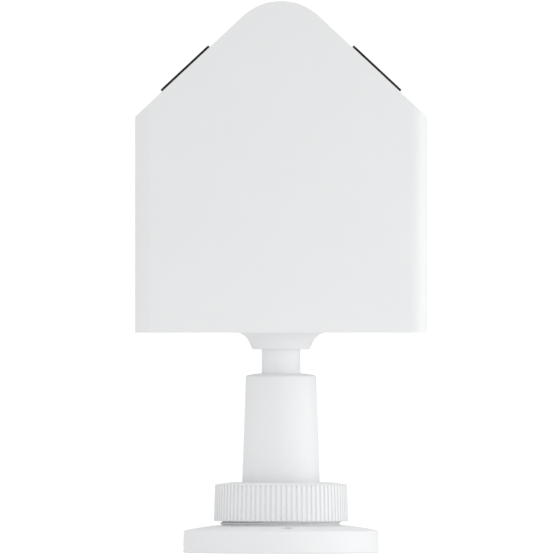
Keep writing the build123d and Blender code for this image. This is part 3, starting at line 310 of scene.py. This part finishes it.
def paint(piece, material):
    """Gives a piece one finish all over."""
    piece.data.materials.clear()
    piece.data.materials.append(material)


white_tone = 0.87
# The neck's lighter tone is painted light over the shade it sits in.
neck_lit_tone = 0.92
jack_axis = (0.045, 0.0)
finishes = {
    "radome_white": moulded_white("radome_white", white_tone),
    "cover_white": moulded_white("cover_white", white_tone),
    "base_white": moulded_white("base_white", white_tone),
    "ring_white": moulded_white("ring_white", white_tone, 0.0003),
    "post_white": moulded_white("post_white", white_tone, 0.0003, parting=True),
    "window_black": smoked_acrylic("window_black"),
    "seal_black": foam("seal_black", (0.03, 0.03, 0.03), 0.0005),
    "gasket_grey": foam("gasket_grey", (0.10, 0.10, 0.105), 0.0007),
    "acetal_white": smooth_moulding("acetal_white", (0.75, 0.74, 0.70), 0.35),
    "acetal_black": smooth_moulding("acetal_black", (0.02, 0.02, 0.021), 0.35),
    "spring_steel": turned_metal("spring_steel", (0.45, 0.45, 0.47), 0.3),
    "stainless": turned_metal("stainless", (0.60, 0.60, 0.61), 0.3),
    "aluminium_mill": drawn_metal("aluminium_mill", (0.78, 0.79, 0.80), 0.34, 2),
    "moulding_grey": smooth_moulding("moulding_grey", (0.10, 0.105, 0.11), 0.5),
    "cushion_foam": foam("cushion_foam", (0.12, 0.12, 0.13), 0.0012),
    "board_green": circuit_board("board_green"),
    "lamp_white": clear_lens("lamp_white"),
    "can_tin": drawn_metal("can_tin", (0.62, 0.63, 0.64), 0.3, 0),
    "coax_copper": drawn_metal("coax_copper", (0.72, 0.40, 0.25), 0.28, 0),
    "jack_nickel": turned_metal("jack_nickel", (0.68, 0.66, 0.61), 0.22, centre=jack_axis),
    "bead_white": smooth_moulding("bead_white", (0.85, 0.85, 0.83), 0.3),
    "pin_gold": turned_metal("pin_gold", (0.90, 0.66, 0.26), 0.2, centre=jack_axis),
}
for subpart in frame["record"]["subparts"]:
    paint(nodes[subpart["node"]], finishes[subpart["material_slot"]])

# The neck turns in the post. It gets a lighter copy of the white plastic with a finer grain; the lighter
# tone is painted light against the shade of the cover and post.
paint(nodes["neck_spindle"], moulded_white("neck_white_lit", neck_lit_tone, 0.0002))


# ---- Turned, threaded and padded pieces -------------------------------------------------------------
def hexagon(angles, half_across):
    """Radius of a hexagon at each angle: half its width over the cosine of the angle from a flat."""
    return half_across / np.cos((angles + pi / 6) % (pi / 3) - pi / 6)


def squircle(angles, half_x, half_y, power):
    """Radius of a squircle at each angle.

    On it, x over half_x and y over half_y, both without sign and raised to the power, add up to one.
    """
    across = np.abs(np.cos(angles) / half_x) ** power
    along = np.abs(np.sin(angles) / half_y) ** power
    return (across + along) ** (-1 / power)


def turned(name, radii, heights, centre, body, slot, replaced, capped, crease=30):
    """Closed skin around an upright axis, its rings joined in order.

    Each ring has a radius at every angle, measured from the centre, and one height. With capped, the
    first and last rings close to a point each; otherwise the last joins the first.
    """
    rings, around = radii.shape
    angles = 2 * pi * np.arange(around) / around
    x = centre[0] + radii * np.cos(angles)
    y = centre[1] + radii * np.sin(angles)
    points = np.stack([x, y, np.broadcast_to(heights, radii.shape)], axis=2)
    index = np.arange(rings * around).reshape(rings, around)
    beside = np.roll(index, -1, axis=1)
    if capped:
        index[0], beside[0] = index[0, 0], index[0, 0]
        index[-1], beside[-1] = index[-1, 0], index[-1, 0]
        quads = np.stack([index[:-1], beside[:-1], beside[1:], index[1:]], axis=2)
    else:
        above, beside_above = np.roll(index, -1, axis=0), np.roll(beside, -1, axis=0)
        quads = np.stack([index, beside, beside_above, above], axis=2)
    quads = quads.reshape(-1, 4)
    corners = points.reshape(-1, 3)[quads]
    crosses = np.cross(corners[:, 2] - corners[:, 0], corners[:, 3] - corners[:, 1])
    if (corners.mean(axis=1) * crosses).sum() < 0:
        quads = quads[:, ::-1]
    kept, packed = np.unique(quads, return_inverse=True)
    packed = packed.reshape(-1, 4)
    faces = [tuple(dict.fromkeys(face)) for face in packed.tolist()]
    mesh = bpy.data.meshes.new(name)
    mesh.from_pydata(points.reshape(-1, 3)[kept], [], faces)
    mesh.shade_smooth()
    mesh.set_sharp_from_angle(angle=radians(crease))
    mesh.materials.append(finishes[slot])
    piece = bpy.data.objects.new(name, mesh)
    scene.collection.objects.link(piece)
    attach(piece, body)
    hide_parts(replaced)
    return piece


def hex_nut(name, centre, half_across, bore, low, high, slot, replaced):
    """Hexagon nut: a ring whose outside is the lesser of a hexagon and a 30 degree cone at each end."""
    points_around, level_count = 96, 15
    end_radius, lead = 0.97 * half_across, 0.06 * half_across
    angles = 2 * pi * np.arange(points_around) / points_around
    levels = np.linspace(low, high, level_count)
    depth = np.minimum(levels - low, high - levels)[:, None]
    outside = np.minimum(hexagon(angles, half_across), end_radius + depth / np.tan(radians(30)))
    rounds = np.ones(points_around)
    mouth = (bore + lead) * rounds
    radii = np.array([bore * rounds, mouth, *outside, mouth, bore * rounds])
    heights = np.array([low + lead, low, *levels, high, high - lead])[:, None]
    turned(name, radii, heights, centre, "antenna", slot, replaced, capped=False)


def threaded_jack(name, slot, replaced):
    """Coaxial jack: a bored body with a 24-per-inch thread outside, a plain shank and a hexagon flange.

    Over the thread the radius falls by the thread's depth times a triangle wave of height / pitch
    minus angle / turn, and the wave fades out at both ends of the thread.
    """
    points_around, thread_rings = 72, 118
    bore, bore_depth, bore_lip = 0.0041, 0.009, 0.0004
    thread, thread_end, pitch, thread_depth = 0.00794, 0.0105, 0.0254 / 24, 0.0005
    chamfer, run_out = 0.0005, 0.0006
    shank, flange, flange_thickness, flange_edge = 0.0085, 0.00935, 0.0034, 0.0004
    back, back_length = 0.0055, 0.005
    low, high = (np.array(corner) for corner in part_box(replaced))
    centre = (low[:2] + high[:2]) / 2
    flange_high = high[2] - back_length
    flange_low = flange_high - flange_thickness
    angles = 2 * pi * np.arange(points_around) / points_around
    turns = np.linspace(low[2] + chamfer, low[2] + thread_end - run_out, thread_rings)
    wave = np.abs((turns[:, None] / pitch - angles / (2 * pi)) % 1 - 0.5) * 2
    fade = np.clip(np.minimum(turns - turns[0], turns[-1] - turns) / (pitch / 2), 0, 1)[:, None]
    threaded = thread - thread_depth * wave * fade
    rings = [
        (0, low[2] + bore_depth),
        (bore, low[2] + bore_depth),
        (bore, low[2] + bore_lip),
        (bore + bore_lip, low[2]),
        (thread - chamfer, low[2]),
        *zip(threaded, turns),
        (thread, low[2] + thread_end),
        (shank, low[2] + thread_end),
        (shank, flange_low),
        (hexagon(angles, flange - flange_edge), flange_low),
        (hexagon(angles, flange), flange_low + flange_edge),
        (hexagon(angles, flange), flange_high - flange_edge),
        (hexagon(angles, flange - flange_edge), flange_high),
        (back, flange_high),
        (back, high[2] - bore_lip),
        (back - bore_lip, high[2]),
        (0, high[2]),
    ]
    radii = np.array([radius * np.ones(points_around) for radius, level in rings])
    heights = np.array([level for radius, level in rings])[:, None]
    turned(name, radii, heights, centre, "antenna", slot, replaced, capped=True, crease=40)


def soft_ring(name, slot, replaced, body, width):
    """Flat foam ring with a rounded, slightly swollen section: a squircle carried round the axis."""
    points_around, section_points = 144, 24
    squareness, ripple_depth = 5.0, 0.02
    low, high = (np.array(corner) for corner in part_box(replaced))
    around = 2 * pi * np.arange(points_around) / points_around
    section = 2 * pi * np.arange(section_points) / section_points
    half = np.array([width / 2, (high[2] - low[2]) / 2])
    reach = squircle(section, half[0], half[1], squareness)
    ripple = 1 + ripple_depth * np.sin(7 * around) * np.sin(3 * around)
    radii = high[0] - half[0] + (reach * np.cos(section))[:, None] * ripple
    heights = ((low[2] + high[2]) / 2 + reach * np.sin(section))[:, None]
    turned(name, radii, heights, (0, 0), body, slot, replaced, capped=False, crease=60)


def end_cushion(name, slot, replaced, hole):
    """Foam block on the boom's end: rings of squircles whose size swells and rounds over with height.

    The sides pull in between the corners, the top is crowned, and a square hole takes the boom's end.
    """
    points_around, side_rings, crown_rings = 120, 26, 8
    hole_depth, hole_lip, hole_flare, crown_height = 0.006, 0.0004, 1.03, 0.0006
    hole_squareness, block_squareness, edge_squareness = 16.0, 7.0, 6
    waist_depth, end_share, crown_share = 0.035, 0.88, 0.86
    low, high = (np.array(corner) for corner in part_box(replaced))
    centre = (low[:2] + high[:2]) / 2
    half = (high - low) / 2
    angles = 2 * pi * np.arange(points_around) / points_around
    hole_top = low[2] + hole_depth
    socket = squircle(angles, hole, hole, hole_squareness)
    waist = 1 - waist_depth * (1 - np.abs(np.sin(2 * angles)))
    outer = squircle(angles, half[0], half[1], block_squareness) * waist
    rise = np.linspace(-1, 1, side_rings)
    swell = (1 - np.abs(rise) ** edge_squareness) ** (1 / edge_squareness)
    sides = outer * (end_share + (1 - end_share) * swell)[:, None]
    top = high[2] - crown_height
    levels = (low[2] + top) / 2 + rise * (top - low[2]) / 2
    cap = np.linspace(crown_share, 0.0, crown_rings)
    crown = top + crown_height * (1 - cap**2)
    inner = [0 * socket, 0.5 * socket, socket, socket, hole_flare * socket]
    radii = np.array([*inner, *sides, *[outer * share for share in cap]])
    heights = np.array([hole_top, hole_top, hole_top, low[2] + hole_lip, low[2], *levels, *crown])[:, None]
    piece = turned(name, radii, heights, centre, "antenna", slot, replaced, capped=True, crease=60)


threaded_jack("rf_jack_threaded", "jack_nickel", "rf_jack")
# A nut's numbers are its half width across the flats and the radius of its bore.
for nut, half_across, bore, slot in (
    ("jack_nut", 0.0105, 0.00855, "jack_nickel"),
    ("spindle_nut", 0.012, 0.00805, "stainless"),
):
    low, high = (np.array(corner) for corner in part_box(nut))
    hex_nut(f"{nut}_chamfered", (low[:2] + high[:2]) / 2, half_across, bore, low[2], high[2], slot, nut)
gasket_width = 0.0032
soft_ring("base_gasket_foam", "gasket_grey", "base_gasket", "base", gasket_width)
boom_hole_half = 0.00505
end_cushion("boom_cushion_foam", "cushion_foam", "boom_cushion", boom_hole_half)


# ---- Studio -----------------------------------------------------------------------------------------
scene.view_settings.view_transform = "Standard"
middle = (np.array(cad_box[0]) + np.array(cad_box[1])) / 2

floor_half = 0.3
floor_level = -0.0002
floor_mesh = bpy.data.meshes.new("floor")
floor_signs = [(-1, -1), (1, -1), (1, 1), (-1, 1)]
floor_corners = [(x * floor_half, y * floor_half, floor_level) for x, y in floor_signs]
floor_mesh.from_pydata(floor_corners, [], [(0, 1, 2, 3)])
floor = bpy.data.objects.new("floor", floor_mesh)
scene.collection.objects.link(floor)

# The floor glows a little, as a lit table does, and looks almost white wherever it is seen directly.
floor_glow = 0.314
floor_look = 0.85
floor_paint = Finish("floor_paint", (0.62, 0.62, 0.62), 0.9, **{"Emission Strength": 1.0})
seen_directly = floor_paint.node("ShaderNodeLightPath", {}, {}).outputs["Is Camera Ray"]
floor_light = floor_paint.mix(seen_directly, (floor_glow,) * 3, (floor_look,) * 3)
floor_paint.set(floor_paint.shader, {"Emission Color": floor_light})
floor_mesh.materials.append(floor_paint.material)

world = bpy.data.worlds.new("studio")
scene.world = world
world.use_nodes = True
sky = world.node_tree
sky.nodes.clear()


def sky_node(kind, settings, inputs):
    """A node of the surroundings, with its settings and then its sockets' values or links."""
    node = sky.nodes.new(kind)
    for key, value in settings.items():
        setattr(node, key, value)
    for key, value in inputs.items():
        if isinstance(value, bpy.types.NodeSocket):
            sky.links.new(value, node.inputs[key])
        else:
            node.inputs[key].default_value = value
    return node.outputs[0] if node.outputs else None


def sky_maths(operation, first, second):
    """The result of one Math node on two numbers or sockets."""
    return sky_node("ShaderNodeMath", {"operation": operation}, {0: first, 1: second})


# The light all round, and broad soft lobes that add to it from the directions given.
sky_base = 0.804
sky_lobes = [((-1, 0, 0), 2.0, 0.39), ((0, 0, 1), 2.0, 0.48)]
direction = sky_node("ShaderNodeTexCoord", {}, {})
light = sky_base
for aim, narrowness, strength in sky_lobes:
    facing = sky.nodes.new("ShaderNodeVectorMath")
    facing.operation = "DOT_PRODUCT"
    sky.links.new(direction, facing.inputs[0])
    facing.inputs[1].default_value = aim
    lobe = sky_maths("POWER", sky_maths("MAXIMUM", facing.outputs["Value"], 0.0), narrowness)
    light = sky_maths("ADD", sky_maths("MULTIPLY", lobe, strength), light)
lit = sky_node("ShaderNodeBackground", {}, {"Strength": light})
backdrop = 1.05
seen = sky_node("ShaderNodeBackground", {}, {"Color": (1, 1, 1, 1), "Strength": backdrop})
camera_ray = sky_node("ShaderNodeLightPath", {}, {})
both = sky_node("ShaderNodeMixShader", {}, {0: camera_ray, 1: lit, 2: seen})
sky_node("ShaderNodeOutputWorld", {}, {0: both})


def softbox(name, place, size, power):
    """Square area light that faces the middle of the object."""
    data = bpy.data.lights.new(name, "AREA")
    data.shape, data.size, data.energy = "SQUARE", size, power
    lamp = bpy.data.objects.new(name, data)
    lamp.location = place
    lamp.rotation_euler = Vector(np.array(place) - middle).to_track_quat("Z", "Y").to_euler()
    scene.collection.objects.link(lamp)


soft_lights = [
    ("front_box", (0.25, -0.60, 0.15), 0.4, 0.574),
    ("side_box", (0.55, -0.05, 0.20), 0.4, 0.75),
]
for light_name, place, size, power in soft_lights:
    softbox(light_name, place, size, power)

camera_data = bpy.data.cameras.new("camera")
camera = bpy.data.objects.new("camera", camera_data)
scene.collection.objects.link(camera)
view_size = 0.280
view_distance = 12.0
view_centre = (-0.0005, 0.13635)
camera_data.sensor_width = 36.0
camera_data.lens = camera_data.sensor_width * view_distance / view_size
camera_data.clip_end = 100.0
camera.location = (view_centre[0], -view_distance, view_centre[1])
camera.rotation_euler = (radians(90), 0, 0)
scene.camera = camera
